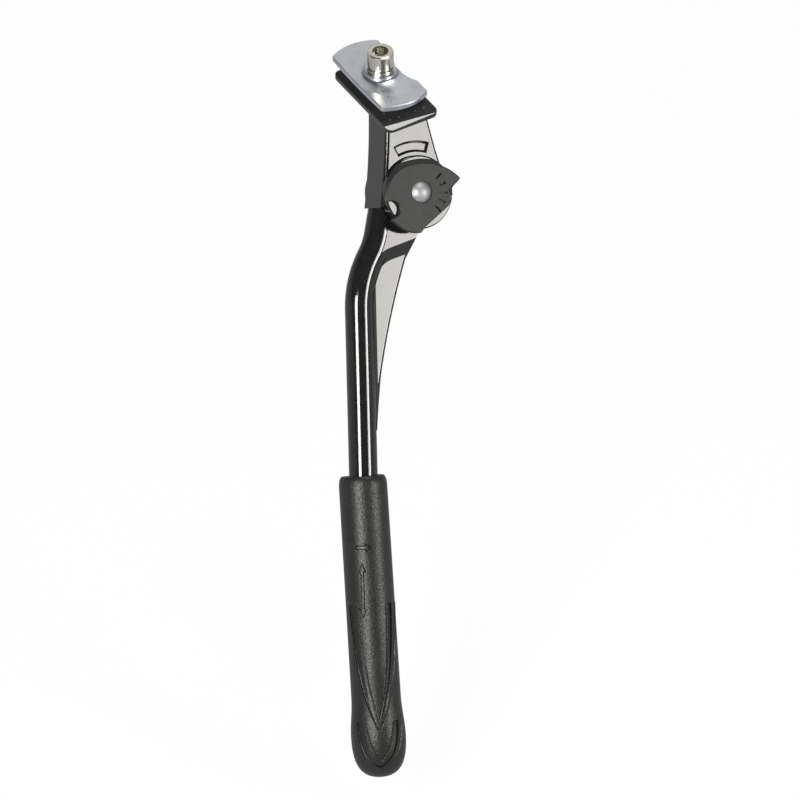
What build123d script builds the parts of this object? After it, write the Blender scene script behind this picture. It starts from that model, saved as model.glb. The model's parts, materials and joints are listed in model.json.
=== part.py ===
"""Bicycle kickstand: clamp head, folding leg and height-adjustable foot, in millimetres.

Frame: +X towards the front wheel, +Y outwards to the stand's side, +Z up.
The origin is where the clamp bolt's axis meets the top of the clamp pad.
"""
import os
from math import acos, atan2, cos, degrees, hypot, radians, sin, sqrt, tan

from build123d import *

# Clamp pad
PAD_LENGTH = 53.0
PAD_WIDTH = 29.0
PAD_THICK = 3.1
PAD_OUTER_END = 31.5  # clamp bolt to the pad's outer end
PAD_CORNER = 3.5
PAD_EDGE = 1.0
PAD_BEVEL = 3.4  # the outer end's bevel at the front corner, none at the rear
PAD_BEVEL_DROP = 1.15

# Clamp bolt, its boss and its lock washer
BOLT_DIA = 8.0
BOLT_LENGTH = 35.0
BOLT_HEAD_DIA = 13.0
BOLT_HEAD_HEIGHT = 8.5
BOLT_HEAD_EDGE = 0.8
HEX_KEY = 6.0
HEX_DEPTH = 5.0
THREAD_GAP = 0.05
BOSS_WALL = 2.75
BOSS_DROP = 9.0  # below the pad
WASHER_OUTER_DIA = 14.0
WASHER_THICK = 2.2
WASHER_SPLIT = 1.2
WASHER_SPLIT_TURN = -60.0  # degrees from the front
WASHER_GAP = 0.15

# Clamp plate, a pressed sheet with a raised seat for the bolt
PLATE_THICK = 2.4
PLATE_CLEAR = 5.2  # pad to the underside of the plate's wings
PLATE_HALF_LENGTH = 27.4
PLATE_CORNER_AT = 23.6
PLATE_SHIFT = -0.8  # the plate's middle from the bolt
PLATE_WIDTH = 26.0
PLATE_FRONT_BOW = 0.6
PLATE_REAR_WAIST = 4.6
PLATE_WAIST_FROM = 14.0
PLATE_CORNER = 1.6
PLATE_EDGE = 0.5
SEAT_RISE = 3.6
SEAT_MARGIN = 0.6  # flat round the lock washer
SEAT_FOOT_X = 12.5
SEAT_FOOT_Y = 19.0
SEAT_STEPS = (0.0, 0.1, 0.35, 0.7, 1.0)  # shares of the rise
PLATE_HOLE_GAP = 0.3

# Pivot: its axis leans up from the +Y direction, square to the column's outer face
PIVOT_LEAN = 36.0  # degrees
FACE_OUT = 28.98  # clamp bolt to the column's outer face, at the pad's underside
PIVOT_DROP = 32.63  # down the outer face from the pad's underside
PIVOT_FORWARD = 8.1

# Column and cheeks, drawn on the outer face with the pivot at (0, 0), x rearwards and y up
COLUMN_DEPTH = 22.0
COLUMN_FOOT_X = -20.5
COLUMN_FOOT_Y = -1.0
COLUMN_FRONT_MID = (-10.4, 21.5)
COLUMN_FRONT_TOP = 0.5
COLUMN_REAR_TOP = 18.3
COLUMN_REAR_LOW = (16.5, 16.6)
CHEEK_RADIUS = 18.0
CHEEK_THICK = 5.0
CHEEK_RISE = 2.5  # outer cheek's round boss above the column's face
CHEEK_EDGE = 0.8
COLUMN_EDGE = 1.2
COLUMN_FRONT_EDGE = 2.0
PANEL_INNER_RADIUS = 19.6
PANEL_OUTER_RADIUS = 25.2
PANEL_FROM = 56.0  # degrees
PANEL_TO = 101.0
PANEL_DEPTH = 1.2
PANEL_BAND = 1.2  # width of the panel's sloping border

# Leg knuckle in the slot between the cheeks
KNUCKLE_RADIUS = 14.5
KNUCKLE_GAP = 0.7
KNUCKLE_SIDE_GAP = 0.3
SLOT_REAR_TOP = 9.0
SHOULDER_GAP = 0.5
STOP_GAP = 0.3
FOLD_ANGLE = 105.0  # degrees

# Pivot rivet, its washer and the knuckle's bush
RIVET_DIA = 7.0
RIVET_GAP = 0.05
RIVET_HEAD_LIP = 1.5  # beyond the shank
RIVET_HEAD_HEIGHT = 2.6
RIVET_TAIL_LIP = 2.0
RIVET_TAIL_HEIGHT = 2.0
RIVET_WASHER_LIP = 2.0  # beyond the peened end
RIVET_WASHER_THICK = 1.5
BUSH_WALL = 1.5
BUSH_GAP = 0.01

# Spring-loaded detent above the knuckle
DETENT_DIA = 8.0
DETENT_GAP = 0.08
DETENT_LENGTH = 11.0
DETENT_LIFT = 0.25  # nose to knuckle while the leg swings
DETENT_TRAVEL = 1.2
DIMPLE_GAP = 0.3
SPRING_WIRE = 1.0
SPRING_OUTER_DIA = 7.0
SPRING_LENGTH = 9.25
SPRING_TURNS = 5

# Pivot cover, drawn like the column
COVER_THICK = 2.5
COVER_TOP = (0.0, 14.3)
COVER_BROW = (12.6, 10.0)
COVER_BEAK = (22.3, -0.5)
COVER_THROAT = (14.6, -4.0)
COVER_CHIN = (14.4, -7.5)
COVER_JAW = (12.0, -11.0)
COVER_STEP = (-3.8, -16.9)
COVER_HEEL = (-6.3, -18.7)
COVER_LEFT = (-20.0, -1.0)
COVER_BITE = (-17.4, -3.0)
COVER_BITE_RADIUS = 4.1
COVER_CORNER = 1.0
COVER_EDGE = 0.6
COVER_RING_GAP = 0.8  # round the rivet's head
COVER_RING_DEPTH = 0.4
GROOVE_COUNT = 5
GROOVE_FROM = -62.0  # degrees
GROOVE_TO = 22.0
GROOVE_REACH = 12.0  # pivot to the middle of a groove
GROOVE_LENGTH = 4.0
GROOVE_WIDTH = 1.3
GROOVE_DEPTH = 1.2

# Leg: round bar with a web behind its bend
BAR_DIA = 14.0
LEG_RAKE = 17.9  # degrees forward of straight down
NECK_START = (-14.5, -1.5)
NECK_BEND = (-24.4, -18.8)
BEND_AT = (-39.2, -32.1)
NECK_RADIUS = 36.0
BEND_RADIUS = 50.0
BAR_TO_FOOT = 94.3  # bend to the top of the foot
BAR_TAIL = 8.0  # below the last lock notch
WEB_HEEL = (-5.2, -20.3)
WEB_WAIST = (-25.5, -48.4)
WEB_END = (-55.5, -103.0)
WEB_THICK = 13.6
WEB_EDGE = 1.8
POCKET_TOP = -21.2
POCKET_LAND = 1.5  # bar's axis to the pocket's border
POCKET_BAND = 6.3
POCKET_DEPTH = 4.0
POCKET_CORNER = 19.0

# Foot and its push-button lock
FOOT_LENGTH = 147.0
FOOT_TOP_RADIUS = 10.4
FOOT_BODY_RADIUS = 11.8
FOOT_END_RADIUS = 12.1
FOOT_TOE_RADIUS = 13.4
FOOT_NECK_AT = 6.0
FOOT_LEAN = 2.3  # degrees rearwards of the bar
FOOT_LEAN_FROM = 12.0
FOOT_SWELL_LENGTH = 19.0
FOOT_TOE_LENGTH = 20.0
TOE_PULL = (10.0, 7.0)  # fullness of the toe's curve, across and up
FOOT_BORE_GAP = 0.1
FOOT_TRAVEL = 36.0
NOTCH_COUNT = 7
NOTCH_DEPTH = 1.3
NOTCH_HEIGHT = 4.2
BUTTON_AT = 28.0  # below the top of the foot
BUTTON_TURN = -50.0  # degrees from straight back, towards the wheel
BUTTON_HEIGHT = 8.0
BUTTON_TRAVEL = 1.7
BUTTON_GAP = 0.15
BUTTON_WALL = 1.7
BUTTON_PAD_WIDTH = 10.0
BUTTON_PROUD = 1.6
BUTTON_SUNK = 0.6  # the ring's sides below the foot's skin
TOOTH_WIDTH = 6.0
TOOTH_GAP = 0.1
STRIP_WIDTH = 5.0
STRIP_THICK = 0.3
STRIP_GAP = 0.03

# Relief round the foot's two sides, as (half width, depth below the foot's top)
RELIEF_TURN = 24.6  # degrees forward of straight out
RELIEF_DEPTH = 0.8
VEE_OUTER = ((10.2, 62.0), (9.4, 104.0), (0.0, 123.5))
VEE_INNER = ((7.2, 62.0), (6.2, 104.0), (0.0, 119.6))
CUP_OUTER = ((10.0, 119.0), (10.5, 137.0), (0.0, 141.8))
CUP_INNER = ((7.2, 119.0), (5.4, 134.0), (0.0, 138.8))

# Cuts
CUT_PAST = 1.0  # how far a cut runs past the face it starts from
LONG = 400.0  # longer than the whole stand
STANDING = (Align.CENTER, Align.CENTER, Align.MIN)
HANGING = (Align.CENTER, Align.CENTER, Align.MAX)

# Frame of the pivot: x rearwards, y up the column, z out along the pivot's axis
lean = radians(PIVOT_LEAN)
pivot_axis = Vector(0, cos(lean), sin(lean))
pivot_centre = Vector(
    PIVOT_FORWARD,
    FACE_OUT + PIVOT_DROP * sin(lean),
    -PAD_THICK - PIVOT_DROP * cos(lean),
)
pivot_plane = Plane(origin=pivot_centre, x_dir=(-1, 0, 0), z_dir=pivot_axis)
mid_depth = -COLUMN_DEPTH / 2
slot_width = COLUMN_DEPTH - 2 * CHEEK_THICK
knuckle_thick = slot_width - 2 * KNUCKLE_SIDE_GAP
knuckle_out = -CHEEK_THICK - KNUCKLE_SIDE_GAP
rivet_head_radius = RIVET_DIA / 2 + RIVET_HEAD_LIP
rivet_tail_radius = RIVET_DIA / 2 + RIVET_TAIL_LIP
bush_radius = RIVET_DIA / 2 + RIVET_GAP + BUSH_WALL
bar_in_foot = BUTTON_AT + FOOT_TRAVEL + BAR_TAIL
cover_face = CHEEK_RISE + COVER_THICK
web_out = mid_depth + WEB_THICK / 2

# Frame of the foot: z down the leg, x rearwards, y out along the pivot's axis
rake = radians(LEG_RAKE)
leg_down = (-sin(rake), -cos(rake))
foot_top = (
    BEND_AT[0] + BAR_TO_FOOT * leg_down[0],
    BEND_AT[1] + BAR_TO_FOOT * leg_down[1],
)
mid_plane = pivot_plane.offset(mid_depth)
foot_plane = Plane(
    origin=mid_plane.from_local_coords((*foot_top, 0)),
    x_dir=pivot_plane.x_dir * cos(rake) - pivot_plane.y_dir * sin(rake),
    z_dir=pivot_plane.x_dir * leg_down[0] + pivot_plane.y_dir * leg_down[1],
)
button_plane = Plane(foot_plane.location * Rot(0, 0, BUTTON_TURN))


def slab(profile, outer, inner):
    """A profile drawn on the outer face, made solid between two depths along the pivot."""
    return extrude(pivot_plane.offset(inner) * profile, amount=outer - inner)


def pin(radius, outer, inner, at=(0, 0)):
    """A round bar along the pivot's axis between two depths."""
    return slab(Pos(*at) * Circle(radius), outer, inner)


def polar(reach, angle):
    """The point at a reach and an angle in degrees."""
    return (reach * cos(radians(angle)), reach * sin(radians(angle)))


def is_standing(edge):
    """True for a long edge that runs up the column's faces."""
    start = pivot_plane.to_local_coords(edge @ 0)
    end = pivot_plane.to_local_coords(edge @ 1)
    return edge.length > COLUMN_DEPTH and abs(start.Y - end.Y) > abs(start.X - end.X)


def is_front(edge):
    """True for a standing edge at the column's front."""
    return is_standing(edge) and pivot_plane.to_local_coords(edge @ 0.5).X < 0


def is_rear(edge):
    """True for a standing edge at the column's rear."""
    return is_standing(edge) and not is_front(edge)


def clamp_pad():
    """The flat pad under the chainstays."""
    centre_y = PAD_OUTER_END - PAD_LENGTH / 2
    outline = Pos(0, centre_y) * RectangleRounded(PAD_WIDTH, PAD_LENGTH, PAD_CORNER)
    pad = extrude(outline, amount=-PAD_THICK)
    pad = fillet(pad.edges().group_by(Axis.Z)[0], PAD_EDGE)
    bevel = Plane(
        origin=(-PAD_WIDTH / 2, PAD_OUTER_END, 0),
        x_dir=(PAD_WIDTH, -PAD_BEVEL, 0),
        z_dir=(PAD_BEVEL * PAD_BEVEL_DROP, PAD_WIDTH * PAD_BEVEL_DROP, PAD_WIDTH * PAD_BEVEL),
    )
    return pad - bevel.location * Box(LONG, LONG, LONG, align=STANDING)


def column():
    """The leaning column with its round cheeks, trimmed under the pad."""
    top = PIVOT_DROP + COLUMN_DEPTH * tan(lean) + PAD_THICK / cos(lean)
    front_top = (COLUMN_FRONT_TOP, top)
    foot_front = (COLUMN_FOOT_X, COLUMN_FOOT_Y)
    foot_rear = (COLUMN_REAR_LOW[0], COLUMN_FOOT_Y)
    front = ThreePointArc(front_top, COLUMN_FRONT_MID, foot_front)
    rest = Polyline(foot_front, foot_rear, COLUMN_REAR_LOW, (COLUMN_REAR_TOP, top), front_top)
    block = slab(make_face([front, *rest.edges()]), 0, -COLUMN_DEPTH)
    block = fillet(block.edges().filter_by(is_rear), COLUMN_EDGE)
    block = fillet(block.edges().filter_by(is_front), COLUMN_FRONT_EDGE)
    solid = block + cheek_boss()
    return solid - Pos(0, 0, -PAD_THICK / 2) * Box(LONG, LONG, LONG, align=STANDING)


def cheek_boss():
    """The round cheeks, the outer one standing proud with a soft rim."""
    drum = pin(CHEEK_RADIUS, CHEEK_RISE, -COLUMN_DEPTH)
    rim = drum.edges().sort_by(Axis(pivot_centre, pivot_axis))[-1]
    return fillet(rim, CHEEK_EDGE)


def knuckle_slot():
    """The space the knuckle swings in, open below and behind."""
    radius = KNUCKLE_RADIUS + KNUCKLE_GAP
    foot = Pos(0, COLUMN_FOOT_Y)
    below = foot * Rectangle(LONG, LONG, align=(Align.CENTER, Align.MAX))
    behind = foot * Rectangle(LONG, SLOT_REAR_TOP - COLUMN_FOOT_Y, align=(Align.MIN, Align.MIN))
    return slab(Circle(radius) + below + behind, -CHEEK_THICK, -COLUMN_DEPTH + CHEEK_THICK)


def panel_outline(inset):
    """The column's panel, a piece of a ring, at a given step in from its edge."""
    outer = PANEL_OUTER_RADIUS - inset
    inner = PANEL_INNER_RADIUS + inset
    turn = degrees(2 * inset / (outer + inner))
    start = PANEL_FROM + turn
    end = PANEL_TO - turn
    middle = (start + end) / 2
    return make_face(
        [
            ThreePointArc(polar(outer, start), polar(outer, middle), polar(outer, end)),
            Line(polar(outer, end), polar(inner, end)),
            ThreePointArc(polar(inner, end), polar(inner, middle), polar(inner, start)),
            Line(polar(inner, start), polar(outer, start)),
        ]
    )


def column_panel():
    """The shallow curved panel sunk in the column's outer face."""
    lip = pivot_plane * panel_outline(0)
    floor = pivot_plane.offset(-PANEL_DEPTH) * panel_outline(PANEL_BAND)
    return loft([lip, floor])


def detent_bore():
    """The blind hole above the knuckle for the detent and its spring."""
    return extrude(detent_plane(0) * Circle(DETENT_DIA / 2), amount=detent_top() + SPRING_LENGTH)


def mounting_head():
    """Pad, column, cheeks and bolt boss, cast as one piece."""
    boss_radius = BOLT_DIA / 2 + BOSS_WALL
    boss = extrude(Pos(0, 0, -PAD_THICK - BOSS_DROP) * Circle(boss_radius), amount=PAD_THICK / 2 + BOSS_DROP)
    head = clamp_pad() + column() + boss
    head -= knuckle_slot()
    head -= column_panel()
    head -= detent_bore()
    head -= pin(RIVET_DIA / 2 + RIVET_GAP, cover_face, -COLUMN_DEPTH - CUT_PAST)
    head -= Cylinder(BOLT_DIA / 2, LONG)
    return head


def plate_outline():
    """Butterfly outline of the clamp plate."""
    side = PLATE_WIDTH / 2
    outer = PLATE_CORNER_AT
    tip = PLATE_HALF_LENGTH
    edges = [
        ThreePointArc((side, -outer), (side + PLATE_FRONT_BOW, 0), (side, outer)),
        ThreePointArc((side, outer), (0, tip), (-side, outer)),
        Line((-side, outer), (-side, PLATE_WAIST_FROM)),
        ThreePointArc((-side, PLATE_WAIST_FROM), (-side + PLATE_REAR_WAIST, 0), (-side, -PLATE_WAIST_FROM)),
        Line((-side, -PLATE_WAIST_FROM), (-side, -outer)),
        ThreePointArc((-side, -outer), (0, -tip), (side, -outer)),
    ]
    outline = make_face(edges)
    return Pos(0, PLATE_SHIFT) * fillet(outline.vertices(), PLATE_CORNER)


def seat_rise(foot):
    """The raised seat: a trumpet from an oval foot up to the round washer face."""
    top = WASHER_OUTER_DIA / 2 + SEAT_MARGIN
    sections = []
    for step in SEAT_STEPS:
        flare = (1 - step) ** 4
        oval = Ellipse(top + (SEAT_FOOT_X - top) * flare, top + (SEAT_FOOT_Y - top) * flare)
        sections.append(Pos(0, 0, foot + step * SEAT_RISE) * oval)
    return loft(sections)


def clamp_plate():
    """Pressed steel plate that pulls the chainstays down on the pad."""
    under = PLATE_CLEAR
    sheet = extrude(Pos(0, 0, under) * plate_outline(), amount=PLATE_THICK)
    sheet = fillet(sheet.edges().group_by(Axis.Z)[-1], PLATE_EDGE)
    trim = extrude(Pos(0, 0, under) * plate_outline(), amount=PLATE_THICK + SEAT_RISE)
    plate = sheet + (seat_rise(under + PLATE_THICK) & trim)
    plate -= seat_rise(under)
    return plate - Cylinder(BOLT_DIA / 2 + PLATE_HOLE_GAP, LONG)


def washer_bottom():
    """Height of the raised seat that the lock washer lies on."""
    return PLATE_CLEAR + PLATE_THICK + SEAT_RISE


def lock_washer():
    """Split spring washer under the bolt's head."""
    ring = Circle(WASHER_OUTER_DIA / 2) - Circle(BOLT_DIA / 2 + WASHER_GAP)
    cut = Rectangle(WASHER_OUTER_DIA, WASHER_SPLIT, align=(Align.MIN, Align.CENTER))
    split = Rot(0, 0, WASHER_SPLIT_TURN) * cut
    return extrude(Pos(0, 0, washer_bottom()) * (ring - split), amount=WASHER_THICK)


def clamp_bolt():
    """Socket head cap screw."""
    under_head = washer_bottom() + WASHER_THICK
    head = extrude(Pos(0, 0, under_head) * Circle(BOLT_HEAD_DIA / 2), amount=BOLT_HEAD_HEIGHT)
    head = chamfer(head.edges().group_by(Axis.Z)[-1], BOLT_HEAD_EDGE)
    top = under_head + BOLT_HEAD_HEIGHT
    socket = RegularPolygon(HEX_KEY / 2, 6, major_radius=False)
    head -= extrude(Pos(0, 0, top) * socket, amount=-HEX_DEPTH)
    shank = extrude(Pos(0, 0, under_head) * Circle(BOLT_DIA / 2 - THREAD_GAP), amount=-BOLT_LENGTH)
    return head + shank


def cover_outline():
    """The cover's beaked outline with the bite out of its lower front edge."""
    edges = [
        ThreePointArc(COVER_TOP, COVER_BROW, COVER_BEAK),
        Line(COVER_BEAK, COVER_THROAT),
        ThreePointArc(COVER_THROAT, COVER_CHIN, COVER_JAW),
        Line(COVER_JAW, COVER_STEP),
        Line(COVER_STEP, COVER_HEEL),
        ThreePointArc(COVER_HEEL, COVER_LEFT, COVER_TOP),
    ]
    outline = make_face(edges) - Pos(*COVER_BITE) * Circle(COVER_BITE_RADIUS)
    return fillet(outline.vertices().filter_by(lambda corner: corner != Vertex(*COVER_TOP)), COVER_CORNER)


def pivot_cover():
    """Moulded cap over the outer cheek, held by the rivet."""
    cap = slab(cover_outline(), cover_face, CHEEK_RISE)
    front = cap.faces().sort_by(Axis(pivot_centre, pivot_axis))[-1]
    cap = chamfer(front.edges(), COVER_EDGE)
    cap -= pin(rivet_head_radius + COVER_RING_GAP, cover_face + CUT_PAST, cover_face - COVER_RING_DEPTH)
    for groove in cover_grooves():
        cap -= groove
    return cap - pin(RIVET_DIA / 2 + RIVET_GAP, cover_face + CUT_PAST, -CUT_PAST)


def cover_grooves():
    """Short grooves that fan out along the cover's rear rim."""
    pitch = (GROOVE_TO - GROOVE_FROM) / (GROOVE_COUNT - 1)
    profile = Pos(GROOVE_REACH, 0) * SlotOverall(GROOVE_LENGTH, GROOVE_WIDTH)
    grooves = []
    for index in range(GROOVE_COUNT):
        turn = Rot(0, 0, GROOVE_FROM + index * pitch)
        grooves.append(slab(turn * profile, cover_face + CUT_PAST, cover_face - GROOVE_DEPTH))
    return grooves


def dome(radius, height):
    """A low dome on the XY plane, as a headed rivet has."""
    sphere_radius = (radius**2 + height**2) / (2 * height)
    ball = Pos(0, 0, height - sphere_radius) * Sphere(sphere_radius)
    return ball - Box(LONG, LONG, LONG, align=HANGING)


def pivot_rivet():
    """Rivet through cover, cheeks and knuckle, domed outside and peened inside."""
    seat = cover_face - COVER_RING_DEPTH
    tail = -COLUMN_DEPTH - RIVET_WASHER_THICK
    shank = pin(RIVET_DIA / 2, seat, tail)
    head = pivot_plane.offset(seat).location * dome(rivet_head_radius, RIVET_HEAD_HEIGHT)
    back_plane = Plane(
        origin=pivot_plane.from_local_coords((0, 0, tail)), x_dir=pivot_plane.x_dir, z_dir=-pivot_axis
    )
    back = back_plane.location * dome(rivet_tail_radius, RIVET_TAIL_HEIGHT)
    return shank + head + back


def rivet_washer():
    """Plain washer under the peened end."""
    ring = Circle(rivet_tail_radius + RIVET_WASHER_LIP) - Circle(RIVET_DIA / 2 + RIVET_GAP)
    return slab(ring, -COLUMN_DEPTH, -COLUMN_DEPTH - RIVET_WASHER_THICK)


def pivot_bush():
    """Bush pressed into the knuckle."""
    ring = Circle(bush_radius) - Circle(RIVET_DIA / 2 + RIVET_GAP)
    return slab(ring, knuckle_out, knuckle_out - knuckle_thick)


def detent_plane(height):
    """Plane square to the detent's bore, at a height above the pivot."""
    return Plane(
        origin=mid_plane.from_local_coords((0, height, 0)),
        x_dir=pivot_plane.x_dir,
        z_dir=pivot_plane.y_dir,
    )


def detent_top():
    """Height of the plunger's flat end above the pivot."""
    return KNUCKLE_RADIUS + DETENT_LIFT + DETENT_LENGTH


def detent_plunger():
    """Round-nosed plunger, drawn lifted clear of the knuckle."""
    radius = DETENT_DIA / 2 - DETENT_GAP
    nose = KNUCKLE_RADIUS + DETENT_LIFT
    body = extrude(detent_plane(nose + radius) * Circle(radius), amount=DETENT_LENGTH - radius)
    ball = detent_plane(nose + radius).location * Sphere(radius)
    return body + ball


def detent_spring():
    """Coil spring between the plunger and the end of its bore."""
    height = SPRING_LENGTH - SPRING_WIRE
    radius = (SPRING_OUTER_DIA - SPRING_WIRE) / 2
    coil = Helix(pitch=height / SPRING_TURNS, height=height, radius=radius)
    wire = sweep(Plane(origin=coil @ 0, z_dir=coil % 0) * Circle(SPRING_WIRE / 2), path=coil, is_frenet=True)
    return detent_plane(detent_top() + SPRING_WIRE / 2).location * wire


def leg_point(distance):
    """A point on the bar's axis, measured down the leg from its bend."""
    return (BEND_AT[0] + distance * leg_down[0], BEND_AT[1] + distance * leg_down[1])


def bar():
    """The round bar: a swept neck and the straight run into the foot."""
    end = leg_point(BAR_TO_FOOT + bar_in_foot)
    path = mid_plane * FilletPolyline(NECK_START, NECK_BEND, BEND_AT, end, radius=[NECK_RADIUS, BEND_RADIUS])
    section = Plane(origin=path @ 0, z_dir=path % 0) * Circle(BAR_DIA / 2)
    return sweep(section, path=path)


def web():
    """The knuckle and the web behind the bend, nearly as thick as the bar."""
    heel_angle = atan2(WEB_HEEL[1], WEB_HEEL[0])
    heel_reach = hypot(*WEB_HEEL)
    tangent_angle = heel_angle + acos(KNUCKLE_RADIUS / heel_reach)
    tangent = (KNUCKLE_RADIUS * cos(tangent_angle), KNUCKLE_RADIUS * sin(tangent_angle))
    sides = Polyline(WEB_HEEL, tangent, (0, 0), NECK_START, NECK_BEND, BEND_AT, WEB_END)
    rear = ThreePointArc(WEB_END, WEB_WAIST, WEB_HEEL)
    profile = make_face([*sides.edges(), rear])
    knuckle = pin(KNUCKLE_RADIUS, knuckle_out, knuckle_out - knuckle_thick)
    sheet = slab(profile, web_out, web_out - WEB_THICK)
    pocket = web_pocket()
    sheet -= pocket
    sheet -= mirror(pocket, mid_plane)
    back_edges = sheet.edges().filter_by(is_web_back)
    return fillet(back_edges, WEB_EDGE) + knuckle


def is_web_back(edge):
    """True for an edge of the web's floor along its open back."""
    middle = pivot_plane.to_local_coords(edge @ 0.5)
    on_floor = abs(abs(middle.Z - mid_depth) - WEB_THICK / 2 + POCKET_DEPTH) < CUT_PAST / 10
    return on_floor and edge.geom_type == GeomType.CIRCLE and edge.length > CHEEK_RADIUS


def pocket_outline(inset):
    """The web's sunk panel at a given step in from the edge of its sloping border."""
    off = POCKET_LAND + inset
    base = (BEND_AT[0] + off * cos(rake), BEND_AT[1] - off * sin(rake))
    top = POCKET_TOP - inset

    def on_front(y):
        return (base[0] + (base[1] - y) * -tan(rake), y)

    low = WEB_END[1] - BAR_DIA
    corner = on_front(top)
    far = CHEEK_RADIUS
    outline = Polygon((far, top), corner, on_front(low), (far, low), align=None)
    return fillet(outline.vertices().sort_by_distance(Vector(*corner))[0], POCKET_CORNER - inset)


def web_pocket():
    """The sunk panel with its broad sloping border, on the outer side of the web."""
    lip = pivot_plane.offset(web_out) * pocket_outline(0)
    floor = pivot_plane.offset(web_out - POCKET_DEPTH) * pocket_outline(POCKET_BAND)
    return loft([lip, floor])


def dimple(angle):
    """A hollow in the knuckle's rim that the detent drops into."""
    ball_radius = DETENT_DIA / 2 - DETENT_GAP + DIMPLE_GAP
    reach = KNUCKLE_RADIUS + DETENT_LIFT - DETENT_TRAVEL - DIMPLE_GAP + ball_radius
    centre = mid_plane.from_local_coords((*polar(reach, angle), 0))
    return Pos(centre) * Sphere(ball_radius)


def notches():
    """Lock notches across the front of the bar, inside the foot."""
    pitch = FOOT_TRAVEL / (NOTCH_COUNT - 1)
    cuts = []
    for index in range(NOTCH_COUNT):
        spot = button_plane.offset(BUTTON_AT + index * pitch).location
        cuts.append(
            spot
            * Pos(-BAR_DIA / 2 + NOTCH_DEPTH, 0, 0)
            * Box(BAR_DIA, BAR_DIA, NOTCH_HEIGHT, align=(Align.MAX, Align.CENTER, Align.CENTER))
        )
    return cuts


def leg():
    """Forged leg: knuckle, web and bar in one piece."""
    stop = COLUMN_FOOT_Y - STOP_GAP
    above_stop = Pos(0, stop) * Rectangle(LONG, LONG, align=(Align.MAX, Align.MIN)) - Circle(KNUCKLE_RADIUS)
    solid = bar() - pin(KNUCKLE_RADIUS, LONG, -LONG) + web()
    solid -= slab(above_stop, LONG, -LONG)
    clear = CHEEK_RADIUS + SHOULDER_GAP
    solid -= pin(clear, LONG, knuckle_out)
    solid -= pin(clear, knuckle_out - knuckle_thick, -LONG)
    solid -= pin(bush_radius + BUSH_GAP, LONG, -LONG)
    solid -= dimple(90)
    solid -= dimple(90 - FOLD_ANGLE)
    for notch in notches():
        solid -= notch
    return solid


def foot_axis():
    """Place of the foot's own leaning axis, at the height of its top."""
    return foot_plane.location * Pos(0, 0, FOOT_LEAN_FROM) * Rot(0, FOOT_LEAN, 0) * Pos(0, 0, -FOOT_LEAN_FROM)


def foot_body(inset=0.0):
    """The foot's turned outer form, a sleeve that swells into a blunt toe, drawn in by an inset."""
    toe_at = FOOT_LENGTH - FOOT_TOE_LENGTH
    body_end = toe_at - FOOT_SWELL_LENGTH
    tip = FOOT_LENGTH - inset
    neck = (FOOT_BODY_RADIUS - inset, FOOT_NECK_AT)
    waist = (FOOT_END_RADIUS - inset, body_end)
    swell = (FOOT_TOE_RADIUS - inset, toe_at)
    straight = ((0, 1), (0, 1))
    profile = make_face(
        [
            Line((0, 0), (FOOT_TOP_RADIUS - inset, 0)),
            Spline((FOOT_TOP_RADIUS - inset, 0), neck, tangents=((1, 1), (0, 1))),
            Line(neck, waist),
            Spline(waist, swell, tangents=straight),
            Bezier(swell, (swell[0], tip - TOE_PULL[1]), (TOE_PULL[0], tip), (0, tip)),
            Line((0, tip), (0, 0)),
        ]
    )
    return foot_axis() * revolve(Plane.XZ * profile, Axis.Z)


def relief_band(outer, inner):
    """Half of a band between two curves that meet on the middle line."""
    return make_face([Bezier(*outer), Line(outer[-1], inner[-1]), Bezier(*inner), Line(inner[0], outer[0])])


def foot_relief():
    """The shallow vee and cup sunk in both sides of the foot."""
    half = relief_band(VEE_OUTER, VEE_INNER) + relief_band(CUP_OUTER, CUP_INNER)
    bands = half + mirror(half, Plane.YZ)
    core = foot_body(RELIEF_DEPTH)
    cuts = []
    for turn in (RELIEF_TURN, RELIEF_TURN + 180):
        side = foot_axis() * Rot(0, 0, turn) * Rot(90, 0, 0)
        cuts.append(extrude(side * bands, amount=LONG) - core)
    return cuts


def button_half_width():
    """Half the width of the button's ring."""
    return BAR_DIA / 2 + FOOT_BORE_GAP + BUTTON_WALL


def button_block(grow, shift):
    """A round-fronted block across the foot at the button's height, open to the back."""
    half = button_half_width() + grow
    height = BUTTON_HEIGHT + 2 * grow
    outline = Circle(half) + Rectangle(2 * FOOT_BODY_RADIUS, 2 * half, align=(Align.MIN, Align.CENTER))
    low = button_plane.offset(BUTTON_AT - height / 2).location
    return extrude(low * Pos(shift, 0) * outline, amount=height)


def foot():
    """Moulded foot that slides on the bar."""
    above = foot_plane.offset(-CUT_PAST)
    bore = extrude(above * Circle(BAR_DIA / 2 + FOOT_BORE_GAP), amount=CUT_PAST + bar_in_foot + FOOT_BORE_GAP)
    pocket = button_block(BUTTON_GAP, -BUTTON_TRAVEL)
    solid = foot_body() - bore - pocket
    for cut in foot_relief():
        solid -= cut
    return solid


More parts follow.
